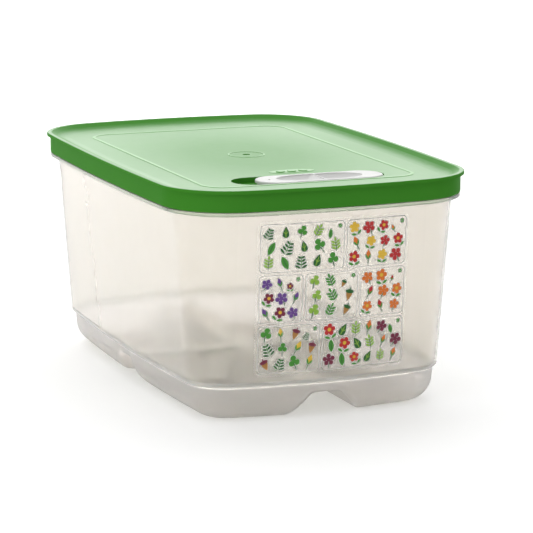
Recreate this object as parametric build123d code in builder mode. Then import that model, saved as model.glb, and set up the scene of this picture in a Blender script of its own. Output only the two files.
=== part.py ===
from build123d import *
from math import cos, radians, sin
import os

os.makedirs("parts", exist_ok=True)

# A rectangular produce keeper. Millimetres, +Z up, origin on the floor under its middle.
# X runs along the short front face, which carries the label, and Y along the long sides.
# An inset is a distance inward from the lid's outermost outline.

# Overall size, and the outline that the lid and the tub share
lid_width = 194.0
lid_length = 296.5
total_height = 139.2
lid_corner_radius = 42.5
lid_front_bow = 8.6
lid_side_bow = 4.0
wall_front_bow = 9.5
wall_side_bow = 4.5
wall_corner_radius = 40.5

# Lid rim, skirt and plug
lip_height = 2.0
lip_overhang = 2.0
lip_round = 0.6
skirt_round = 0.5
skirt_drop = 12.7
skirt_thickness = 1.8
plug_thickness = 1.6
plug_drop = 11.5
channel_depth = 3.5
rim_land = 2.6
rim_slope_width = 7.6
rim_round = 1.5
panel_depth = 3.4
panel_thickness = 2.0
panel_blend_radius = 20.0
rim_clearance = 0.35
flange_gap = 0.2

# Tub wall, rim and lower section
wall = 1.8
flange_thickness = 2.3
flange_round = 0.5
rim_lip_round = 0.6
wall_top_inset = 6.7
wall_foot_inset = 13.9
rim_lip_thickness = 2.2
shoulder_height = 22.2
shoulder_drop = 1.8
shoulder_step = 2.2
shoulder_round = 1.2
lower_draft = 1.4
foot_radius = 15.0

# Two channels cross under the tub and leave four feet
channel_mouth = 46.0
channel_crown = 18.0
channel_height = 14.6
channel_round = 7.5
channel_sink = 0.4
channel_run_out = 18.8
arch_round = 4.5
floor_rib_height = 1.4
floor_rib_width = 1.2
floor_rib_pitch = 8.0
floor_rib_margin = 6.0

# Raised border line, gate mark and position marks on the lid's panel
border_side_inset = 29.7
border_front_inset = 35.8
border_corner_radius = 15.0
border_width = 2.2
relief_height = 0.15
gate_diameter = 4.6
gate_depth = 0.4
gate_ring_diameter = 23.0
gate_ring_width = 0.9
mark_count = 3
mark_diameter = 5.5
mark_height = 0.35
mark_plate_length = 29.0
mark_plate_width = 11.0
mark_offset = 25.4

# Vent slide and its recess
slider_length = 79.6
slider_width = 26.0
slider_rise = 0.3
slider_plate = 1.6
slider_edge_radius = 0.8
sole_inset = 1.2
slide_travel = 14.4
end_clearance = 0.6
side_clearance = 0.5
slide_gap = 0.15
recess_from_front = 52.6
recess_offset = 1.4
recess_depth = 3.2
recess_wall = 1.6
recess_floor = 1.7
vent_diameter = 5.0
vent_cover = 3.0
guide_width = 7.0
leg_length = 16.0
leg_thickness = 1.5
leg_clearance = 0.3
barb_reach = 1.1
barb_height = 1.8
barb_clearance = 0.25
scoop_reach = 27.0
scoop_width = 20.6
scoop_depth = 2.3
scoop_rise = 7.0
crest_width = 0.8
crest_depth = 0.3
scoop_stations = (0, 20, 40, 60, 75, 85)
dimple_diameter = 1.6
dimple_depth = 0.4
dimple_from_end = 8.0

# Label on the front wall
label_width = 94.5
label_thickness = 0.15
label_corner_radius = 4.0
label_lower_margin = 5.3
label_upper_margin = 4.4

# Levels and insets that follow from the sizes above
rim_top = total_height
panel_top = rim_top - panel_depth
panel_under = panel_top - panel_thickness
channel_roof = rim_top - channel_depth
skirt_bottom = rim_top - skirt_drop
flange_top = skirt_bottom - flange_gap
flange_bottom = flange_top - flange_thickness
rim_lip_outer = lip_overhang + skirt_thickness + rim_clearance
rim_lip_inner = rim_lip_outer + rim_lip_thickness
plug_outer = rim_lip_inner + rim_clearance
plug_inner = plug_outer + plug_thickness
shoulder_bottom = shoulder_height - shoulder_drop
lower_inset = wall_foot_inset + shoulder_step
wall_drafted = (wall_foot_inset - wall_top_inset) / (flange_bottom - shoulder_height)
recess_top_z = panel_top - recess_depth
recess_under = recess_top_z - recess_floor
recess_length = slider_length + slide_travel + 2 * end_clearance
recess_width = slider_width + 2 * side_clearance
recess_x = recess_offset
recess_y = recess_from_front - lid_length / 2
slider_x = recess_x + (recess_length - slider_length) / 2 - end_clearance
vent_step = slide_travel / 2


class BowedPanel(BaseSketchObject):
    """A rectangle with its four sides bowed out in arcs and its corners rounded"""

    def __init__(self, inset, corner_radius, front_bow, side_bow, mode=Mode.ADD):
        half_width = lid_width / 2 - inset
        half_length = lid_length / 2 - inset
        corner_x = half_width - side_bow
        corner_y = half_length - front_bow
        with BuildSketch() as panel:
            with BuildLine():
                ThreePointArc((-corner_x, -corner_y), (0, -half_length), (corner_x, -corner_y))
                ThreePointArc((corner_x, -corner_y), (half_width, 0), (corner_x, corner_y))
                ThreePointArc((corner_x, corner_y), (0, half_length), (-corner_x, corner_y))
                ThreePointArc((-corner_x, corner_y), (-half_width, 0), (-corner_x, -corner_y))
            make_face()
            fillet(panel.vertices(), corner_radius)
        super().__init__(obj=panel.sketch, mode=mode)


def lid_outline(inset, mode=Mode.ADD):
    """The lid's outline, drawn in by an inset"""
    return BowedPanel(inset, lid_corner_radius - inset, lid_front_bow, lid_side_bow, mode)


def wall_outline(inset):
    """The tub wall's outline, drawn in by an inset; it bows a little more than the lid"""
    return BowedPanel(inset, wall_corner_radius - inset, wall_front_bow, wall_side_bow)


def channel_profile(grow):
    """The S-sided section of a foot channel, grown by a wall's thickness for the inside

    Its sides run out a little below the floor, so that each foot ends on a crisp line.
    """
    with BuildSketch() as profile:
        with BuildLine():
            half_mouth = channel_mouth / 2
            half_crown = channel_crown / 2
            arch = FilletPolyline(
                (-half_mouth - channel_run_out, -channel_sink),
                (-half_mouth, -channel_sink),
                (-half_crown, channel_height),
                (half_crown, channel_height),
                (half_mouth, -channel_sink),
                (half_mouth + channel_run_out, -channel_sink),
                radius=channel_round,
            )
            Polyline(
                arch @ 1,
                (half_mouth + channel_run_out, -2 * wall),
                (-half_mouth - channel_run_out, -2 * wall),
                arch @ 0,
            )
        make_face()
        if grow > 0:
            offset(amount=grow)
    return profile.sketch


def foot_channels(grow):
    """Both crossing channels as one solid"""
    with BuildPart() as channels:
        with BuildSketch(Plane.XZ):
            add(channel_profile(grow))
        extrude(amount=lid_length / 2, both=True)
        with BuildSketch(Plane.YZ):
            add(channel_profile(grow))
        extrude(amount=lid_width / 2, both=True)
    return channels.part


def upper_wall(skin, low):
    """The tub's drafted wall as a solid, drawn in by a skin thickness, from a low level up"""
    with BuildPart() as upper:
        with BuildSketch(Plane.XY.offset(low)):
            wall_outline(wall_foot_inset + skin)
        with BuildSketch(Plane.XY.offset(flange_top)):
            wall_outline(wall_top_inset + skin - wall_drafted * flange_thickness)
        loft(ruled=True)
    return upper.part


def arch_edges(body):
    """The curved edges where the foot channels leave a body's outer walls"""
    beside = channel_mouth / 2 + channel_round
    arches = ShapeList()
    for edge in body.edges().filter_by(GeomType.LINE, reverse=True):
        middle = edge.center()
        at_front = abs(middle.X) < beside and abs(middle.Y) > lid_length / 3
        at_side = abs(middle.Y) < beside and abs(middle.X) > lid_width / 3
        if (at_front or at_side) and wall / 4 < middle.Z < channel_height + 1.5 * wall:
            arches.append(edge)
    return arches


def tub_body(skin):
    """The tub's solid shape from floor to flange, drawn in by a skin thickness on all sides"""
    with BuildPart() as lower:
        with BuildSketch(Plane.XY.offset(skin)):
            wall_outline(lower_inset + lower_draft + skin)
        with BuildSketch(Plane.XY.offset(shoulder_bottom + skin)):
            wall_outline(lower_inset + skin)
        loft(ruled=True)
        fillet(lower.faces().sort_by(Axis.Z)[0].edges(), foot_radius - skin)
        add(foot_channels(skin), mode=Mode.SUBTRACT)
        fillet(arch_edges(lower), arch_round - skin)
    with BuildPart() as shoulder:
        with BuildSketch(Plane.XY.offset(shoulder_bottom + skin)):
            wall_outline(lower_inset + skin)
        with BuildSketch(Plane.XY.offset(shoulder_height + skin)):
            wall_outline(wall_foot_inset + skin)
        loft(ruled=True)
    with BuildPart() as body:
        add(lower.part)
        add(shoulder.part)
        add(upper_wall(skin, shoulder_height + skin))
        for level in (shoulder_height + skin, shoulder_bottom + skin):
            fillet(body.edges().filter_by_position(Axis.Z, level, level), shoulder_round)
    return body.part


def floor_ribs():
    """Low ribs on the floor of each foot, which keep what is stored off the drips"""
    half_width = lid_width / 2 - lower_inset - lower_draft - foot_radius - floor_rib_margin
    half_length = lid_length / 2 - lower_inset - lower_draft - foot_radius - floor_rib_margin
    start = channel_mouth / 2 + channel_round / 2 + floor_rib_margin
    rib_length = half_length - start
    rib_count = int((half_width - start) / floor_rib_pitch) + 1
    first = (half_width + start - (rib_count - 1) * floor_rib_pitch) / 2
    with BuildPart() as ribs:
        with BuildSketch(Plane.XY.offset(wall / 2)):
            for number in range(rib_count):
                rib_x = first + number * floor_rib_pitch
                for side in (-1, 1):
                    for end in (-1, 1):
                        with Locations((side * rib_x, end * (start + rib_length / 2))):
                            SlotOverall(rib_length, floor_rib_width, rotation=90)
        extrude(amount=wall / 2 + floor_rib_height)
    return ribs.part


def finish(piece, name):
    """Label a piece and write it"""
    piece.label = name
    export_step(piece, f"parts/{name}.step")
    print(name, len(piece.solids()), round(piece.volume), piece.is_valid, piece.bounding_box())


# The tub: its shell, the flange under the lid's skirt, and the lip that the lid grips
with BuildPart() as flange:
    with BuildSketch(Plane.XY.offset(flange_bottom)):
        lid_outline(lip_overhang)
    extrude(amount=flange_thickness)
    fillet(flange.edges().filter_by_position(Axis.Z, flange_bottom, flange_bottom), flange_round)
    fillet(flange.edges().filter_by_position(Axis.Z, flange_top, flange_top), flange_round)

with BuildPart() as rim_lip:
    with BuildSketch(Plane.XY.offset(flange_top)):
        lid_outline(rim_lip_outer)
        lid_outline(rim_lip_inner, mode=Mode.SUBTRACT)
    extrude(amount=channel_roof - flange_top)
    fillet(rim_lip.edges().filter_by_position(Axis.Z, channel_roof, channel_roof), rim_lip_round)

with BuildPart() as base:
    add(tub_body(0))
    add(flange.part)
    add(rim_lip.part)
    add(tub_body(wall), mode=Mode.SUBTRACT)
    add(floor_ribs())

finish(base.part, "base")

# The lid: skirt and lip, then the hollow under the panel and the channel for the tub's lip
with BuildPart() as lid:
    with BuildSketch(Plane.XY.offset(skirt_bottom)):
        lid_outline(lip_overhang)
    extrude(amount=rim_top - skirt_bottom)
    with BuildSketch(Plane.XY.offset(rim_top - lip_height)):
        lid_outline(0)
    extrude(amount=lip_height)
    fillet(lid.edges().filter_by_position(Axis.Z, rim_top, rim_top), lip_round)
    fillet(lid.edges().filter_by_position(Axis.Z, skirt_bottom, skirt_bottom), skirt_round)
    with BuildSketch(Plane.XY.offset(skirt_bottom)):
        lid_outline(lip_overhang + skirt_thickness)
    extrude(amount=skirt_drop - plug_drop, mode=Mode.SUBTRACT)
    with BuildSketch(Plane.XY.offset(rim_top - plug_drop)):
        lid_outline(plug_inner)
    extrude(amount=panel_under - rim_top + plug_drop, mode=Mode.SUBTRACT)
    with BuildSketch(Plane.XY.offset(rim_top - plug_drop)):
        lid_outline(lip_overhang + skirt_thickness)
        lid_outline(plug_outer, mode=Mode.SUBTRACT)
    extrude(amount=plug_drop - channel_depth, mode=Mode.SUBTRACT)
    with BuildSketch(Plane.XY.offset(panel_top)):
        lid_outline(rim_land + rim_slope_width)
    with BuildSketch(Plane.XY.offset(rim_top)):
        lid_outline(rim_land)
    loft(ruled=True, mode=Mode.SUBTRACT)
    dish_edges = lid.edges(Select.LAST)
    fillet(dish_edges.filter_by_position(Axis.Z, rim_top, rim_top), rim_round)
    fillet(dish_edges.filter_by_position(Axis.Z, panel_top, panel_top), panel_blend_radius)

# The recess for the slide, with its guide slot and two vent holes, and the reliefs on the panel
guide_length = leg_length + slide_travel + guide_width
guide_x = slider_x - slide_travel / 2
slider_end = slider_x + slider_length / 2
first_vent_x = slider_end - vent_cover - vent_diameter / 2
border_length = lid_length - 2 * border_front_inset
border_breadth = lid_width - 2 * border_side_inset
mark_y = recess_y + mark_offset
with lid:
    with BuildSketch(Plane.XY.offset(recess_under)):
        with Locations((recess_x, recess_y)):
            SlotOverall(recess_length + 2 * recess_wall, recess_width + 2 * recess_wall)
    extrude(amount=panel_under - recess_under)
    with BuildSketch(Plane.XY.offset(recess_top_z)):
        with Locations((recess_x, recess_y)):
            SlotOverall(recess_length, recess_width)
    extrude(amount=recess_depth, mode=Mode.SUBTRACT)
    with BuildSketch(Plane.XY.offset(recess_under)):
        with Locations((guide_x, recess_y)):
            SlotOverall(guide_length, guide_width)
        with Locations((first_vent_x, recess_y), (first_vent_x - vent_step, recess_y)):
            Circle(vent_diameter / 2)
    extrude(amount=recess_floor, mode=Mode.SUBTRACT)
    with BuildSketch(Plane.XY.offset(panel_top)):
        RectangleRounded(border_breadth, border_length, border_corner_radius)
        RectangleRounded(
            border_breadth - 2 * border_width,
            border_length - 2 * border_width,
            border_corner_radius - border_width,
            mode=Mode.SUBTRACT,
        )
        with Locations((recess_x, mark_y)):
            Ellipse(mark_plate_length / 2, mark_plate_width / 2)
        Circle(gate_ring_diameter / 2)
        Circle(gate_ring_diameter / 2 - gate_ring_width, mode=Mode.SUBTRACT)
    extrude(amount=relief_height)
    with BuildSketch(Plane.XY.offset(panel_top + relief_height)):
        with Locations(*[(slider_x - number * vent_step, mark_y) for number in range(mark_count)]):
            Circle(mark_diameter / 2)
    extrude(amount=mark_height)
    with BuildSketch(Plane.XY.offset(panel_top - gate_depth)):
        Circle(gate_diameter / 2)
    extrude(amount=gate_depth, mode=Mode.SUBTRACT)

finish(lid.part, "lid")

# The vent slide: a plate on a narrower sole, a finger scoop each side of a crest, and two snap legs
slider_top = panel_top + slider_rise
plate_bottom = slider_top - slider_plate
sole_bottom = recess_top_z + slide_gap
leg_face = guide_width / 2 - leg_clearance
barb_top = recess_under - barb_clearance


class ScoopSection(BaseSketchObject):
    """A half oval that hangs from the slide's top face and is open above it"""

    def __init__(self, half_width, depth, mode=Mode.ADD):
        with BuildSketch() as section:
            with BuildLine():
                EllipticalCenterArc((0, 0), half_width, depth, start_angle=180, arc_size=180)
                Polyline(
                    (half_width, 0),
                    (half_width, slider_plate),
                    (-half_width, slider_plate),
                    (-half_width, 0),
                )
            make_face()
        super().__init__(obj=section.sketch, mode=mode)


def across_slide(distance):
    """The plane across the slide's top face at a distance from the slide's middle"""
    return Plane(origin=(slider_x + distance, recess_y, slider_top), x_dir=(0, 1, 0), z_dir=(1, 0, 0))


def finger_scoop(direction):
    """An oval bowl with a steep rim, whose inner end is a flat ramp up to the slide's middle crest"""
    inner = crest_width / 2
    widest = inner + scoop_rise
    with BuildPart() as scoop:
        with BuildSketch(across_slide(direction * inner)):
            ScoopSection(scoop_width / 2, scoop_depth)
        extrude(amount=direction * scoop_rise)
        with BuildSketch(Plane(origin=(slider_x, recess_y, slider_top), x_dir=(1, 0, 0), z_dir=(0, -1, 0))):
            with BuildLine():
                Polyline(
                    (direction * inner, slider_plate),
                    (direction * inner, -crest_depth),
                    (direction * widest, -scoop_depth - crest_depth),
                    (direction * widest, slider_plate),
                    close=True,
                )
            make_face()
        extrude(amount=scoop_width, both=True, mode=Mode.INTERSECT)
        for angle in scoop_stations:
            share = cos(radians(angle))
            distance = widest + (scoop_reach - widest) * sin(radians(angle))
            with BuildSketch(across_slide(direction * distance)):
                ScoopSection(share * scoop_width / 2, share * scoop_depth)
        loft()
    return scoop.part


with BuildPart() as vent_slider:
    with BuildSketch(Plane.XY.offset(sole_bottom)):
        with Locations((slider_x, recess_y)):
            SlotOverall(slider_length - 2 * sole_inset, slider_width - 2 * sole_inset)
    extrude(amount=plate_bottom - sole_bottom)
    with BuildSketch(Plane.XY.offset(plate_bottom)):
        with Locations((slider_x, recess_y)):
            SlotOverall(slider_length, slider_width)
    extrude(amount=slider_plate)
    fillet(vent_slider.edges().group_by(Axis.Z)[-1], slider_edge_radius)
    add(finger_scoop(-1), mode=Mode.SUBTRACT)
    add(finger_scoop(1), mode=Mode.SUBTRACT)
    with BuildSketch(Plane.XY.offset(slider_top - dimple_depth)):
        with Locations((slider_x - slider_length / 2 + dimple_from_end, recess_y)):
            Circle(dimple_diameter / 2)
    extrude(amount=dimple_depth, mode=Mode.SUBTRACT)
    leg_plane = Plane(origin=(slider_x, recess_y, 0), x_dir=(0, 1, 0), z_dir=(1, 0, 0))
    with BuildSketch(leg_plane):
        with BuildLine():
            Polyline(
                (leg_face - leg_thickness, sole_bottom),
                (leg_face, sole_bottom),
                (leg_face, barb_top),
                (leg_face + barb_reach, barb_top),
                (leg_face - leg_thickness / 2, barb_top - barb_height),
                (leg_face - leg_thickness, barb_top - barb_height),
                close=True,
            )
        make_face()
        mirror(about=Plane.YZ)
    extrude(amount=leg_length / 2, both=True)

finish(vent_slider.part, "vent_slider")

# The label: a thin film on the outside of the front wall
label_low = shoulder_height + label_lower_margin
label_high = flange_bottom - label_upper_margin
with BuildPart() as label_film:
    add(upper_wall(-label_thickness, shoulder_height))
    add(upper_wall(0, shoulder_height), mode=Mode.SUBTRACT)
    with BuildSketch(Plane.XZ):
        with Locations((0, (label_low + label_high) / 2)):
            RectangleRounded(label_width, label_high - label_low, label_corner_radius)
    extrude(amount=lid_length / 2, mode=Mode.INTERSECT)

finish(label_film.part, "label_film")
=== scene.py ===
import math
import random

import bmesh
import bpy
from mathutils import Matrix, Vector
from mathutils.bvhtree import BVHTree


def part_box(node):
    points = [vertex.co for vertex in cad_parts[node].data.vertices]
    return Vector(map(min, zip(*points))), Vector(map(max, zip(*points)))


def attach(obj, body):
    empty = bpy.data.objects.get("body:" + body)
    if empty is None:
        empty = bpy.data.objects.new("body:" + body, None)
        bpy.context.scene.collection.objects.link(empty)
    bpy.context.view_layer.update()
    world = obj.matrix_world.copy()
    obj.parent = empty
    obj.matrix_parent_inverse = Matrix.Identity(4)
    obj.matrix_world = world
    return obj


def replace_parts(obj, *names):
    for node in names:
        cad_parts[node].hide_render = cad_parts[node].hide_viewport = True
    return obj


# The looks of a produce keeper: a milky tub with a printed label, a green lid and a white vent slide.
# Metres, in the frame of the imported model: X along the labelled front, Y towards the back, Z up.
MM = 0.001

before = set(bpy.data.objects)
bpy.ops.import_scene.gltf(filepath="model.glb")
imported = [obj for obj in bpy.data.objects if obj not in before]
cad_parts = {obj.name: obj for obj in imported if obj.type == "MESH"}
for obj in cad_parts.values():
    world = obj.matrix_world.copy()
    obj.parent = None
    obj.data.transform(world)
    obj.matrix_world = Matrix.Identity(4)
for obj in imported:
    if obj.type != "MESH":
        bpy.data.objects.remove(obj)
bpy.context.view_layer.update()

# Camera, matched to the outlines in the photograph
CAMERA_PLACE = (-0.5963, -1.5195, 0.3891)
CAMERA_AZIMUTH = math.radians(-21.869)
CAMERA_ELEVATION = math.radians(11.227)
CAMERA_ROLL = math.radians(0.079)
CAMERA_LENS = 180.1
SENSOR_WIDTH = 36.0
CAMERA_REACH = 50

# Light: what the backdrop shows, what it gives, and the size of the floor
BACKDROP_STRENGTH = 1.0
SKY_STRENGTH = 0.5
FLOOR_GLOW = 0.33
FLOOR_GLOW_NEAR = 0.45
FLOOR_GLOW_FAR = 2.5
FLOOR_SIZE = 12.0
FLOOR_DROP = 0.05 * MM

# The tub's wall is frosted up to the shoulder and polished above it, and milkiest at the shoulder's ledge.
# Its rim, under the lid's skirt, carries a painted reflection of the lid's green.
FROST_TOP = 20.0 * MM
POLISH_BOTTOM = 23.5 * MM
LEDGE_MIDDLE = 21.5 * MM
LEDGE_HALF = 1.6 * MM
LID_REFLECTION_MIDDLE = 124.9 * MM
LID_REFLECTION_HALF = 1.9 * MM
WALL_CLEARNESS = 0.86
LEDGE_CLEARNESS = 0.55
LAMP_SHARE_THROUGH = 0.75

# The lid's bloom lies on what faces up: none where the normal's height is below the first value, all of it
# above the second. It grows from the middle of the panel outward.
FLAT_FROM = 0.90
FLAT_TO = 0.99
LID_SPREAD = (1 / (97 * MM), 1 / (148 * MM), 0)

# The polished reliefs on the lid's panel, which also get a painted highlight in lighter green: border line,
# gate ring and mark plate
BORDER_HALF = (67.3 * MM, 112.45 * MM)
BORDER_CORNER = 15 * MM
BORDER_WIDTH = 2.2 * MM
GATE_RING_RADIUS = 11.05 * MM
GATE_RING_WIDTH = 0.9 * MM
MARK_PLATE_MIDDLE = (1.4 * MM, -70.25 * MM)
MARK_PLATE_HALF = (14.5 * MM, 5.5 * MM)

# The label: a film just off the wall, and thin layers of ink on it
FILM_GAP = 0.03 * MM
FILM_THICKNESS = 0.03 * MM
FILM_CORNER = 4.0 * MM
INK_START = 0.07 * MM
INK_STEP = 0.015 * MM
INK_THICKNESS = 0.01 * MM
WALL_STRIP = 4.0 * MM
WALL_SEARCH_FROM = -0.3
HALO = 0.42 * MM

# The printed cards: the share of each row's width that each card takes
CARD_ROWS = ((0.57, 0.43), (0.30, 0.37, 0.33), (0.42, 0.58))
CARD_MARGIN = 1.6 * MM
CARD_GAP = 1.3 * MM
CARD_CORNER = 2.6 * MM
CARD_LINE = 0.55 * MM
CARD_PADDING = 1.2 * MM
MOTIF_PITCH = 9.0 * MM
MOTIF_HALF = 4.3 * MM
BADGE_RADIUS = 1.5 * MM
BADGE_FROM_CORNER = 3.1 * MM
BADGE_FIELD_SHARE = 0.78
BADGE_DOT_SHARE = 0.18
BADGE_DOT_PITCH = 0.5
MOTIF_TURN = 0.55
MOTIF_SPREAD = (0.88, 1.12)
ROW_STAGGER = 0.15
BESIDE_BADGE = 0.62
BADGE_CYCLE = 3
SCATTER_SEED = 11


def linear(hex_colour):
    """An sRGB hex colour as the linear RGBA that Blender's sockets take"""
    channels = []
    for start in (1, 3, 5):
        value = int(hex_colour[start:start + 2], 16) / 255
        channels.append(value / 12.92 if value <= 0.04045 else ((value + 0.055) / 1.055) ** 2.4)
    return (*channels, 1.0)


def add_node(tree, kind, settings=None, links=None):
    """Adds a node: its settings are properties or input values, and its links join outputs to its inputs"""
    node = tree.nodes.new(kind)
    for name, value in (settings or {}).items():
        if isinstance(name, str) and hasattr(node, name):
            setattr(node, name, value)
        else:
            node.inputs[name].default_value = value
    for name, source in (links or {}).items():
        tree.links.new(source, node.inputs[name])
    return node


def start_material(name):
    """An empty node material, its tree and the object coordinates in it"""
    material = bpy.data.materials.new(name)
    material.use_nodes = True
    tree = material.node_tree
    tree.nodes.clear()
    place = add_node(tree, "ShaderNodeTexCoord").outputs["Object"]
    return material, tree, place


def mottled_colour(tree, place, first, second, size):
    """Two close tones that drift into each other over a given size"""
    cloud = add_node(tree, "ShaderNodeTexNoise", {"Scale": 1 / size, "Detail": 3.0}, {"Vector": place})
    tones = {"data_type": "RGBA", 6: linear(first), 7: linear(second)}
    return add_node(tree, "ShaderNodeMix", tones, {0: cloud.outputs["Fac"]}).outputs[2]


def uneven_gloss(tree, place, low, high, size):
    """A roughness that wanders between two values over a given size, as handling leaves it"""
    cloud = add_node(tree, "ShaderNodeTexNoise", {"Scale": 1 / size, "Detail": 4.0}, {"Vector": place})
    return add_node(tree, "ShaderNodeMapRange", {"To Min": low, "To Max": high},
                    {"Value": cloud.outputs["Fac"]}).outputs["Result"]


def moulded_grain(tree, place, size, depth):
    """The tool's texture in a moulded surface, as a normal: grains of a given size and depth"""
    grain = add_node(tree, "ShaderNodeTexNoise", {"Scale": 1 / size, "Detail": 3.0}, {"Vector": place})
    return add_node(tree, "ShaderNodeBump", {"Distance": depth, "Strength": 1.0},
                    {"Height": grain.outputs["Fac"]}).outputs["Normal"]


def relief_gloss_and_painted_highlight(tree, place):
    """1 on the lid's border line, gate ring and mark plate, and 0 elsewhere"""
    flat = add_node(tree, "ShaderNodeVectorMath", {"operation": "MULTIPLY", 1: (1, 1, 0)},
                    {0: place}).outputs[0]
    folded = add_node(tree, "ShaderNodeVectorMath", {"operation": "ABSOLUTE"}, {0: flat}).outputs[0]
    straight = (BORDER_HALF[0] - BORDER_CORNER, BORDER_HALF[1] - BORDER_CORNER, 0)
    past = add_node(tree, "ShaderNodeVectorMath", {"operation": "SUBTRACT", 1: straight},
                    {0: folded}).outputs[0]
    outside = add_node(tree, "ShaderNodeVectorMath", {"operation": "MAXIMUM", 1: (0, 0, 0)},
                       {0: past}).outputs[0]
    reach = add_node(tree, "ShaderNodeVectorMath", {"operation": "LENGTH"}, {0: outside}).outputs["Value"]
    axes = add_node(tree, "ShaderNodeSeparateXYZ", links={"Vector": past})
    nearer = add_node(tree, "ShaderNodeMath", {"operation": "MAXIMUM"},
                      {0: axes.outputs["X"], 1: axes.outputs["Y"]}).outputs[0]
    inside = add_node(tree, "ShaderNodeMath", {"operation": "MINIMUM", 1: 0.0}, {0: nearer}).outputs[0]
    edge = add_node(tree, "ShaderNodeMath", {"operation": "ADD"}, {0: reach, 1: inside}).outputs[0]
    middle_of_line = BORDER_CORNER - BORDER_WIDTH / 2
    border = add_node(tree, "ShaderNodeMath",
                      {"operation": "COMPARE", 1: middle_of_line, 2: BORDER_WIDTH / 2},
                      {0: edge}).outputs[0]
    radius = add_node(tree, "ShaderNodeVectorMath", {"operation": "LENGTH"}, {0: flat}).outputs["Value"]
    ring = add_node(tree, "ShaderNodeMath",
                    {"operation": "COMPARE", 1: GATE_RING_RADIUS, 2: GATE_RING_WIDTH / 2},
                    {0: radius}).outputs[0]
    squeeze = (1 / MARK_PLATE_HALF[0], 1 / MARK_PLATE_HALF[1], 0)
    shift = (-MARK_PLATE_MIDDLE[0] * squeeze[0], -MARK_PLATE_MIDDLE[1] * squeeze[1], 0)
    oval = add_node(tree, "ShaderNodeVectorMath", {"operation": "MULTIPLY_ADD", 1: squeeze, 2: shift},
                    {0: flat}).outputs[0]
    oval_reach = add_node(tree, "ShaderNodeVectorMath", {"operation": "LENGTH"}, {0: oval}).outputs["Value"]
    plate = add_node(tree, "ShaderNodeMath", {"operation": "LESS_THAN", 1: 1.0},
                     {0: oval_reach}).outputs[0]
    lines = add_node(tree, "ShaderNodeMath", {"operation": "MAXIMUM"}, {0: border, 1: ring}).outputs[0]
    return add_node(tree, "ShaderNodeMath", {"operation": "MAXIMUM"}, {0: lines, 1: plate}).outputs[0]


def moulded_polyethylene():
    """The lid: soft low-density polyethylene, deep green and matt, with a waxy bloom on its flat top and a
    painted highlight in lighter green on its reliefs
    """
    material, tree, place = start_material("moulded_polyethylene")
    green = mottled_colour(tree, place, "#418A2B", "#468F2F", 30 * MM)
    polished = relief_gloss_and_painted_highlight(tree, place)
    # The reliefs' lighter green is a painted highlight for the pale gleam they catch; their real gloss is
    # the coat below
    colour = add_node(tree, "ShaderNodeMix", {"data_type": "RGBA", 7: linear("#62A650")},
                      {0: polished, 6: green}).outputs[2]
    normal = add_node(tree, "ShaderNodeNewGeometry").outputs["Normal"]
    upward = add_node(tree, "ShaderNodeSeparateXYZ", links={"Vector": normal}).outputs["Z"]
    flat_top = add_node(tree, "ShaderNodeMapRange", {"From Min": FLAT_FROM, "From Max": FLAT_TO},
                        {"Value": upward}).outputs["Result"]
    spread = add_node(tree, "ShaderNodeVectorMath", {"operation": "MULTIPLY", 1: LID_SPREAD},
                      {0: place}).outputs[0]
    from_middle = add_node(tree, "ShaderNodeVectorMath", {"operation": "LENGTH"},
                           {0: spread}).outputs["Value"]
    bloom = add_node(tree, "ShaderNodeMapRange",
                     {"From Min": 0.3, "From Max": 0.95, "To Min": 0.57, "To Max": 1.0},
                     {"Value": from_middle}).outputs["Result"]
    shiny = add_node(tree, "ShaderNodeMath", {"operation": "MAXIMUM"}, {0: polished, 1: bloom}).outputs[0]
    coat = add_node(tree, "ShaderNodeMath", {"operation": "MULTIPLY"}, {0: flat_top, 1: shiny}).outputs[0]
    shader = add_node(
        tree,
        "ShaderNodeBsdfPrincipled",
        {"IOR": 1.51, "Specular IOR Level": 0.01, "Coat IOR": 1.25, "Coat Roughness": 0.4,
         "Subsurface Weight": 0.1, "Subsurface Radius": (0.6, 1.0, 0.4), "Subsurface Scale": 1.2 * MM},
        {"Base Color": colour, "Roughness": uneven_gloss(tree, place, 0.42, 0.50, 6 * MM),
         "Normal": moulded_grain(tree, place, 0.6 * MM, 0.004 * MM), "Coat Weight": coat},
    )
    add_node(tree, "ShaderNodeOutputMaterial", links={"Surface": shader.outputs[0]})
    return material


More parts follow.
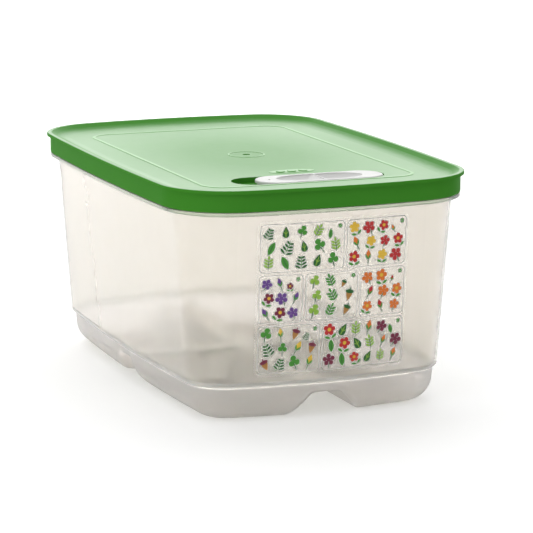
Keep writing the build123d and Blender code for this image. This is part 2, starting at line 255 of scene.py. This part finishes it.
def natural_polypropylene():
    """The tub: uncoloured polypropylene, milky and see-through, with a polished wall and frosted feet"""
    material, tree, place = start_material("natural_polypropylene")
    height = add_node(tree, "ShaderNodeSeparateXYZ", links={"Vector": place}).outputs["Z"]
    polish = add_node(tree, "ShaderNodeMapRange", {"From Min": FROST_TOP, "From Max": POLISH_BOTTOM},
                      {"Value": height}).outputs["Result"]
    frosting = add_node(tree, "ShaderNodeMapRange", {"To Min": 0.36, "To Max": 0.07},
                        {"Value": polish}).outputs["Result"]
    tone = add_node(tree, "ShaderNodeMix", {"data_type": "RGBA"},
                    {0: polish, 6: mottled_colour(tree, place, "#FBF6F4", "#FDFAF9", 14 * MM),
                     7: mottled_colour(tree, place, "#F6F1EA", "#FAF6F0", 14 * MM)}).outputs[2]
    off_ledge = add_node(tree, "ShaderNodeMath", {"operation": "SUBTRACT", 1: LEDGE_MIDDLE},
                         {0: height}).outputs[0]
    ledge_reach = add_node(tree, "ShaderNodeMath", {"operation": "ABSOLUTE"}, {0: off_ledge}).outputs[0]
    clearness = add_node(tree, "ShaderNodeMapRange",
                         {"From Min": LEDGE_HALF, "From Max": 2 * LEDGE_HALF,
                          "To Min": LEDGE_CLEARNESS, "To Max": WALL_CLEARNESS},
                         {"Value": ledge_reach}).outputs["Result"]
    # The flange's pale green, where it sits against the lid's skirt, is a painted reflection of the skirt's
    # green
    painted_lid_reflection = add_node(tree, "ShaderNodeMath", {"operation": "COMPARE", 1: LID_REFLECTION_MIDDLE, 2: LID_REFLECTION_HALF},
                      {0: height}).outputs[0]
    colour = add_node(tree, "ShaderNodeMix", {"data_type": "RGBA", 7: linear("#CCD6C3")},
                      {0: painted_lid_reflection, 6: tone}).outputs[2]
    shader = add_node(
        tree,
        "ShaderNodeBsdfPrincipled",
        {"IOR": 1.49, "Subsurface Weight": 1.0, "Subsurface Radius": (1.0, 0.95, 0.9),
         "Subsurface Scale": 8 * MM},
        {"Base Color": colour, "Roughness": frosting,
         "Transmission Weight": clearness, "Normal": moulded_grain(tree, place, 9 * MM, 0.012 * MM)},
    )
    # Lamps reach through the wall, as they do through real milky plastic, so the inside isn't dark
    through = add_node(tree, "ShaderNodeBsdfTransparent", {"Color": linear("#F4F0E8")})
    shadow = add_node(tree, "ShaderNodeLightPath").outputs["Is Shadow Ray"]
    share = add_node(tree, "ShaderNodeMath", {"operation": "MULTIPLY", 1: LAMP_SHARE_THROUGH},
                     {0: shadow}).outputs[0]
    lit = add_node(tree, "ShaderNodeMixShader",
                   links={0: share, 1: shader.outputs[0], 2: through.outputs[0]})
    add_node(tree, "ShaderNodeOutputMaterial", links={"Surface": lit.outputs[0]})
    return material


def white_polypropylene():
    """The vent slide: white pigmented polypropylene from a polished tool, a clean semi-gloss"""
    material, tree, place = start_material("white_polypropylene")
    shader = add_node(
        tree,
        "ShaderNodeBsdfPrincipled",
        {"IOR": 1.49, "Specular IOR Level": 0.05, "Subsurface Weight": 0.15,
         "Subsurface Radius": (1.0, 1.0, 1.0), "Subsurface Scale": 0.8 * MM},
        {"Base Color": mottled_colour(tree, place, "#D0D0CE", "#D5D5D3", 12 * MM),
         "Roughness": uneven_gloss(tree, place, 0.30, 0.38, 3 * MM),
         "Normal": moulded_grain(tree, place, 2 * MM, 0.002 * MM)},
    )
    add_node(tree, "ShaderNodeOutputMaterial", links={"Surface": shader.outputs[0]})
    return material


def clear_polyester():
    """The label's film: clear polyester, nearly invisible but for a slick gloss"""
    material, tree, place = start_material("clear_polyester")
    shader = add_node(
        tree,
        "ShaderNodeBsdfPrincipled",
        {"IOR": 1.49, "Alpha": 0.05},
        {"Base Color": mottled_colour(tree, place, "#EFEEEA", "#F5F4F0", 10 * MM),
         "Roughness": uneven_gloss(tree, place, 0.10, 0.16, 4 * MM)},
    )
    add_node(tree, "ShaderNodeOutputMaterial", links={"Surface": shader.outputs[0]})
    return material


def screen_ink(colour_name, first, second, clearness):
    """One screen-printed ink: a thin satin coat with a slight mottle, which may let some light by"""
    material, tree, place = start_material(f"screen_ink_{colour_name}")
    shader = add_node(
        tree,
        "ShaderNodeBsdfPrincipled",
        {"IOR": 1.5, "Specular IOR Level": 0.3, "Transmission Weight": clearness},
        {"Base Color": mottled_colour(tree, place, first, second, 1.6 * MM),
         "Roughness": uneven_gloss(tree, place, 0.40, 0.52, 2 * MM)},
    )
    # So thin a coat throws no shadow of its own beside it
    shadow = add_node(tree, "ShaderNodeLightPath").outputs["Is Shadow Ray"]
    through = add_node(tree, "ShaderNodeBsdfTransparent")
    lit = add_node(tree, "ShaderNodeMixShader",
                   links={0: shadow, 1: shader.outputs[0], 2: through.outputs[0]})
    add_node(tree, "ShaderNodeOutputMaterial", links={"Surface": lit.outputs[0]})
    return material


# Each ink's two close tones, and how much light it lets by
INKS = {
    "cream": ("#FAF9F4", "#FDFCFA", 0.5),
    "deep_green": ("#1C5424", "#2A6B2C", 0.0),
    "leaf_green": ("#3A8A30", "#55A03A", 0.0),
    "lime": ("#86B83A", "#A5CC58", 0.0),
    "red": ("#B3202A", "#D23A38", 0.0),
    "orange": ("#DE6A24", "#F08A3C", 0.0),
    "yellow": ("#E9B62C", "#F4D257", 0.0),
    "burgundy": ("#6A1C38", "#84304C", 0.0),
    "purple": ("#5E3A84", "#7A55A0", 0.0),
    "ochre": ("#A8773A", "#C29152", 0.0),
}


def disc(angle):
    """A round outline, at an angle, as how far across and along it goes"""
    return math.cos(angle), math.sin(angle)


def blade(angle):
    """A leaf's outline, pointed at both ends"""
    return math.cos(angle) * abs(math.cos(angle)) ** 0.7, math.sin(angle)


def bud(angle):
    """A bud's or seed's outline: round below and drawn to a point above"""
    return math.cos(angle) * (0.62 - 0.38 * math.sin(angle)) * 1.2, math.sin(angle)


def petals(angle):
    """A blossom's outline, with five round petals"""
    reach = 0.6 + 0.4 * math.sqrt(abs(math.cos(2.5 * angle)))
    return reach * math.cos(angle), reach * math.sin(angle)


def lobes(angle):
    """A clover's outline, with three round lobes"""
    reach = 0.3 + 0.7 * math.sqrt(abs(math.cos(1.5 * (angle - math.pi / 2))))
    return reach * math.cos(angle), reach * math.sin(angle)


OUTLINE_POINTS = {disc: 14, blade: 12, bud: 14, petals: 40, lobes: 30}

# Each motif is a list of shapes: outline, ink, layer, place across and along, turn in degrees, half length
# and half width, all in shares of the motif's half size. The ink "main" is the one that the card picks.
MOTIFS = {
    "leaf": [
        (blade, "leaf_green", 1, 0, 0, 0, 1.0, 0.46),
        (blade, "deep_green", 2, 0, -0.1, 0, 0.85, 0.06),
    ],
    "broad_leaf": [
        (bud, "deep_green", 1, 0, 0.1, 0, 0.85, 0.62),
        (blade, "lime", 2, 0, -0.05, 0, 0.8, 0.07),
        (blade, "lime", 2, 0.2, 0.05, -40, 0.3, 0.05),
        (blade, "lime", 2, -0.2, 0.05, 40, 0.3, 0.05),
    ],
    "sprig": [
        (blade, "deep_green", 2, 0, -0.1, 0, 0.9, 0.06),
        *[(blade, "main", 1, side * 0.33, along, side * -55, 0.38, 0.15)
          for along in (-0.35, 0.05, 0.45) for side in (-1, 1)],
        (blade, "main", 1, 0, 0.8, 0, 0.34, 0.16),
    ],
    "blossom": [
        (petals, "main", 1, 0, 0.22, 0, 0.78, 0.78),
        (disc, "yellow", 2, 0, 0.22, 0, 0.24, 0.24),
        (blade, "leaf_green", 1, 0.42, -0.72, -62, 0.42, 0.17),
        (blade, "leaf_green", 1, -0.42, -0.72, 62, 0.42, 0.17),
    ],
    "clover": [
        (lobes, "main", 1, 0, 0.25, 0, 0.75, 0.75),
        (blade, "deep_green", 2, 0, -0.45, 8, 0.6, 0.07),
    ],
    "closed_bud": [
        (bud, "main", 1, 0, 0.45, 0, 0.55, 0.42),
        (blade, "leaf_green", 2, 0.2, 0.05, -25, 0.36, 0.13),
        (blade, "leaf_green", 2, -0.2, 0.05, 25, 0.36, 0.13),
        (blade, "deep_green", 1, 0, -0.55, 0, 0.5, 0.07),
    ],
    "dots": [
        *[(disc, "main", 1, 0.55 * math.sin(turn * math.tau / 5), 0.1 + 0.5 * math.cos(turn * math.tau / 5),
           0, 0.3, 0.3) for turn in range(5)],
        (disc, "main", 1, 0, 0.1, 0, 0.28, 0.28),
        (blade, "deep_green", 2, 0, -0.65, -12, 0.42, 0.07),
    ],
    "seed": [
        (bud, "ochre", 1, 0, -0.1, 180, 0.68, 0.5),
        (disc, "main", 2, 0, 0.38, 0, 0.26, 0.56),
        (blade, "main", 2, 0, 0.72, 0, 0.26, 0.08),
    ],
    "frond": [
        (blade, "leaf_green", 2, 0, 0, 0, 1.0, 0.05),
        *[(blade, "deep_green", 1, side * (0.36 - 0.18 * along), along, side * -62,
           0.38 - 0.16 * along, 0.15) for along in (-0.62, -0.2, 0.22, 0.64) for side in (-1, 1)],
    ],
}

# What each card shows, in turn: a motif and the ink of its main shapes
CARD_PICKS = (
    (("sprig", "lime"), ("leaf", "lime"), ("frond", "lime"), ("broad_leaf", "lime"),
     ("clover", "leaf_green")),
    (("blossom", "red"), ("closed_bud", "orange"), ("blossom", "yellow"), ("dots", "red")),
    (("closed_bud", "purple"), ("blossom", "burgundy"), ("dots", "purple")),
    (("clover", "lime"), ("sprig", "leaf_green"), ("seed", "deep_green"), ("leaf", "lime")),
    (("blossom", "orange"), ("closed_bud", "red"), ("dots", "orange")),
    (("seed", "burgundy"), ("frond", "lime"), ("clover", "leaf_green"), ("closed_bud", "yellow")),
    (("dots", "burgundy"), ("leaf", "lime"), ("blossom", "red"), ("broad_leaf", "lime"), ("sprig", "lime"),
     ("closed_bud", "orange")),
)


def print_shape(mesh, outline, layer, middle, turn, half_length, half_width):
    """Prints one filled outline, flat in X and Z, at its layer's height off the wall"""
    made = bmesh.ops.create_circle(mesh, cap_ends=True, segments=OUTLINE_POINTS[outline], radius=1)
    upright = Matrix.Rotation(math.radians(90), 3, "X")
    turned = Matrix.Rotation(-turn, 3, "Y")
    for vert in made["verts"]:
        across, along = outline(math.atan2(vert.co.y, vert.co.x))
        flat = Vector((across * half_width, along * half_length, 0))
        vert.co = turned @ upright @ flat + Vector((middle[0], -INK_START - layer * INK_STEP, middle[1]))


def print_motif(sheets, name, main_ink, middle, turn, half):
    """Prints one motif with a pale border round each of its shapes"""
    for outline, ink, layer, across, along, tilt, half_length, half_width in MOTIFS[name]:
        shape_turn = turn + math.radians(tilt)
        place = (middle[0] + half * (across * math.cos(turn) - along * math.sin(turn)),
                 middle[1] + half * (across * math.sin(turn) + along * math.cos(turn)))
        length, width = half * half_length, half * half_width
        sheet = sheets[main_ink if ink == "main" else ink]
        print_shape(sheet, outline, layer, place, shape_turn, length, width)
        print_shape(sheets["cream"], outline, 0, place, shape_turn, length + HALO, width + HALO)


def print_frame(mesh, left, right, low, high):
    """Prints a card's rounded frame line"""
    upright = Matrix.Rotation(math.radians(90), 4, "X")
    middle = Matrix.Translation(((left + right) / 2, -INK_START, (low + high) / 2))
    spread = Matrix.Diagonal(((right - left) / 2, (high - low) / 2, 1, 1))
    card = bmesh.ops.create_grid(mesh, x_segments=1, y_segments=1, size=1,
                                 matrix=middle @ upright @ spread)
    rounded = bmesh.ops.bevel(mesh, geom=card["verts"], offset=CARD_CORNER, segments=5, profile=0.5,
                              affect="VERTICES", material=-1)
    inner = rounded["verts"][0].link_faces[0]
    bmesh.ops.inset_region(mesh, faces=[inner], thickness=CARD_LINE, use_boundary=True,
                           use_even_offset=True)
    bmesh.ops.delete(mesh, geom=[inner], context="FACES")


def print_badge(sheets, middle, count):
    """Prints a card's badge: a pale ring with as many dots in it as the card's number"""
    print_shape(sheets["cream"], disc, 0, middle, 0, BADGE_RADIUS, BADGE_RADIUS)
    field = BADGE_RADIUS * BADGE_FIELD_SHARE
    print_shape(sheets["leaf_green"], disc, 1, middle, 0, field, field)
    dot = BADGE_RADIUS * BADGE_DOT_SHARE
    for number in range(count):
        across = (number - (count - 1) / 2) * BADGE_RADIUS * BADGE_DOT_PITCH
        print_shape(sheets["cream"], disc, 2, (middle[0] + across, middle[1]), 0, dot, dot)


def print_card(sheets, picks, left, right, low, high, number, chance):
    """Prints one card: its frame, its badge and staggered rows of its motifs"""
    print_frame(sheets["cream"], left, right, low, high)
    badge = (right - BADGE_FROM_CORNER, high - BADGE_FROM_CORNER)
    print_badge(sheets, badge, number)
    width = right - left - 2 * CARD_PADDING
    height = high - low - 2 * CARD_PADDING
    rows = round(height / MOTIF_PITCH)
    columns = round(width / MOTIF_PITCH)
    for row in range(rows):
        stagger = (row % 2 - 0.5) * ROW_STAGGER
        for column in range(columns):
            place = (left + CARD_PADDING + width * (column + 0.5 + stagger) / columns,
                     low + CARD_PADDING + height * (row + 0.5) / rows)
            turn = chance.uniform(-MOTIF_TURN, MOTIF_TURN)
            half = MOTIF_HALF * chance.uniform(*MOTIF_SPREAD)
            if math.dist(place, badge) < BADGE_RADIUS + MOTIF_HALF:
                half *= BESIDE_BADGE
                place = (place[0] - MOTIF_HALF * 0.5, place[1] - MOTIF_HALF * 0.45)
            motif, ink = picks[(row * columns + column + row) % len(picks)]
            print_motif(sheets, motif, ink, place, turn, half)


def lay_on_wall(mesh, wall, thickness, low_x, high_x):
    """Cuts a flat sheet into narrow strips, gives it its thickness and lays it on the tub's front wall"""
    strips = int((high_x - low_x) / WALL_STRIP) + 1
    for number in range(strips):
        bmesh.ops.bisect_plane(mesh, geom=mesh.verts[:] + mesh.edges[:] + mesh.faces[:],
                               plane_co=(low_x + number * WALL_STRIP, 0, 0), plane_no=(1, 0, 0))
    raised = bmesh.ops.extrude_face_region(mesh, geom=mesh.faces[:], use_keep_orig=True)
    outer = [item for item in raised["geom"] if isinstance(item, bmesh.types.BMVert)]
    bmesh.ops.translate(mesh, verts=outer, vec=(0, -thickness, 0))
    bmesh.ops.recalc_face_normals(mesh, faces=mesh.faces[:])
    for vert in mesh.verts:
        start = Vector((vert.co.x, WALL_SEARCH_FROM, vert.co.z))
        vert.co.y += wall.ray_cast(start, Vector((0, 1, 0)))[0].y


def finished_piece(name, mesh, material):
    """Turns a mesh into a piece of the label, which rides on the tub"""
    data = bpy.data.meshes.new(name)
    mesh.to_mesh(data)
    mesh.free()
    data.materials.append(material)
    piece = bpy.data.objects.new(name, data)
    bpy.context.scene.collection.objects.link(piece)
    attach(piece, "tub_body")
    return piece


def make_label():
    """The label: a clear film just off the front wall, with cards of generic garden motifs printed on it"""
    low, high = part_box("label_film")
    base_mesh = bmesh.new()
    base_mesh.from_mesh(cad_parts["base"].data)
    wall = BVHTree.FromBMesh(base_mesh)
    base_mesh.free()
    film = bmesh.new()
    upright = Matrix.Rotation(math.radians(90), 4, "X")
    middle = Matrix.Translation(((low[0] + high[0]) / 2, -FILM_GAP, (low[2] + high[2]) / 2))
    spread = Matrix.Diagonal(((high[0] - low[0]) / 2, (high[2] - low[2]) / 2, 1, 1))
    card = bmesh.ops.create_grid(film, x_segments=1, y_segments=1, size=1,
                                 matrix=middle @ upright @ spread)
    bmesh.ops.bevel(film, geom=card["verts"], offset=FILM_CORNER, segments=6, profile=0.5,
                    affect="VERTICES", material=-1)
    lay_on_wall(film, wall, FILM_THICKNESS, low[0], high[0])
    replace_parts(finished_piece("clear_film", film, clear_polyester()), "label_film")

    sheets = {name: bmesh.new() for name in INKS}
    chance = random.Random(SCATTER_SEED)
    left, right = low[0] + CARD_MARGIN, high[0] - CARD_MARGIN
    row_height = (high[2] - low[2] - 2 * CARD_MARGIN - (len(CARD_ROWS) - 1) * CARD_GAP) / len(CARD_ROWS)
    number = 0
    for row, shares in enumerate(CARD_ROWS):
        top = high[2] - CARD_MARGIN - row * (row_height + CARD_GAP)
        card_left = left
        for share in shares:
            card_width = share * (right - left - (len(shares) - 1) * CARD_GAP)
            print_card(sheets, CARD_PICKS[number], card_left, card_left + card_width, top - row_height,
                       top, number % BADGE_CYCLE + 1, chance)
            card_left += card_width + CARD_GAP
            number += 1
    for name, tones in INKS.items():
        lay_on_wall(sheets[name], wall, INK_THICKNESS, low[0], high[0])
        finished_piece(f"print_{name}", sheets[name], screen_ink(name, *tones))


def dress(node, material):
    """Gives a CAD node its finish"""
    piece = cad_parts[node]
    piece.data.materials.clear()
    piece.data.materials.append(material)


def make_camera():
    """The camera at the photograph's viewing angle"""
    back = Vector((
        math.sin(CAMERA_AZIMUTH) * math.cos(CAMERA_ELEVATION),
        -math.cos(CAMERA_AZIMUTH) * math.cos(CAMERA_ELEVATION),
        math.sin(CAMERA_ELEVATION),
    ))
    level = Vector((math.cos(CAMERA_AZIMUTH), math.sin(CAMERA_AZIMUTH), 0))
    upright = back.cross(level)
    right = math.cos(CAMERA_ROLL) * level + math.sin(CAMERA_ROLL) * upright
    up = back.cross(right)
    data = bpy.data.cameras.new("camera")
    data.lens = CAMERA_LENS
    data.sensor_width = SENSOR_WIDTH
    data.clip_end = CAMERA_REACH
    camera = bpy.data.objects.new("camera", data)
    turned = Matrix((right, up, back)).transposed().to_4x4()
    camera.matrix_world = Matrix.Translation(CAMERA_PLACE) @ turned
    bpy.context.scene.collection.objects.link(camera)
    bpy.context.scene.camera = camera


def seen_ray(tree):
    """1 for camera, mirror and glass rays, which see the backdrop, and 0 for rays that carry light"""
    rays = add_node(tree, "ShaderNodeLightPath")
    first = add_node(tree, "ShaderNodeMath", {"operation": "MAXIMUM"},
                     {0: rays.outputs["Is Camera Ray"], 1: rays.outputs["Is Glossy Ray"]})
    return add_node(tree, "ShaderNodeMath", {"operation": "MAXIMUM"},
                    {0: first.outputs[0], 1: rays.outputs["Is Transmission Ray"]}).outputs[0]


def make_world():
    """A plain white studio: white where it is seen, dimmer where it lights the object"""
    world = bpy.data.worlds.new("studio")
    world.use_nodes = True
    bpy.context.scene.world = world
    tree = world.node_tree
    tree.nodes.clear()
    strength = add_node(tree, "ShaderNodeMapRange",
                        {"To Min": SKY_STRENGTH, "To Max": BACKDROP_STRENGTH},
                        {"Value": seen_ray(tree)}).outputs["Result"]
    shade = add_node(tree, "ShaderNodeBackground", {"Color": (1, 1, 1, 1)}, {"Strength": strength})
    add_node(tree, "ShaderNodeOutputWorld", links={"Surface": shade.outputs[0]})


def make_floor():
    """A plain pale floor, which looks white and keeps the object's shadow"""
    bpy.ops.mesh.primitive_plane_add(size=FLOOR_SIZE, location=(0, 0, -FLOOR_DROP))
    floor = bpy.context.object
    floor.name = "floor"
    material, tree, place = start_material("pale_floor")
    matt = add_node(tree, "ShaderNodeBsdfDiffuse", {"Color": linear("#F4F4F4")})
    reach = add_node(tree, "ShaderNodeVectorMath", {"operation": "LENGTH"}, {0: place}).outputs["Value"]
    strength = add_node(tree, "ShaderNodeMapRange",
                        {"From Min": FLOOR_GLOW_NEAR, "From Max": FLOOR_GLOW_FAR,
                         "To Min": FLOOR_GLOW, "To Max": BACKDROP_STRENGTH},
                        {"Value": reach}).outputs["Result"]
    glow = add_node(tree, "ShaderNodeEmission", {"Color": (1, 1, 1, 1)}, {"Strength": strength})
    plain = add_node(tree, "ShaderNodeAddShader", links={0: matt.outputs[0], 1: glow.outputs[0]})
    shader = add_node(tree, "ShaderNodeMixShader",
                      links={0: seen_ray(tree), 1: matt.outputs[0], 2: plain.outputs[0]})
    add_node(tree, "ShaderNodeOutputMaterial", links={"Surface": shader.outputs[0]})
    floor.data.materials.append(material)


def make_lamp(name, place, target, size, power):
    """A softbox that faces a point, out of the camera's sight"""
    data = bpy.data.lights.new(name, "AREA")
    data.shape = "RECTANGLE"
    data.size, data.size_y = size
    data.energy = power
    lamp = bpy.data.objects.new(name, data)
    lamp.visible_camera = False
    aim = Vector(target) - Vector(place)
    lamp.matrix_world = Matrix.Translation(place) @ aim.to_track_quat("-Z", "Y").to_matrix().to_4x4()
    bpy.context.scene.collection.objects.link(lamp)


make_camera()
make_world()
make_floor()
make_lamp("softbox_above", (0.1, 0.7, 1.7), (0, 0, 0.05), (1.6, 1.6), 13.5)
make_lamp("softbox_behind", (0.75, 1.6, 0.5), (0, 0, 0.12), (1.6, 0.8), 9.5)
make_lamp("softbox_left", (-1.5, -0.7, 0.7), (0, 0, 0.08), (1.0, 1.0), 6)
bpy.context.scene.view_settings.view_transform = "Standard"

dress("base", natural_polypropylene())
dress("lid", moulded_polyethylene())
dress("vent_slider", white_polypropylene())
make_label()
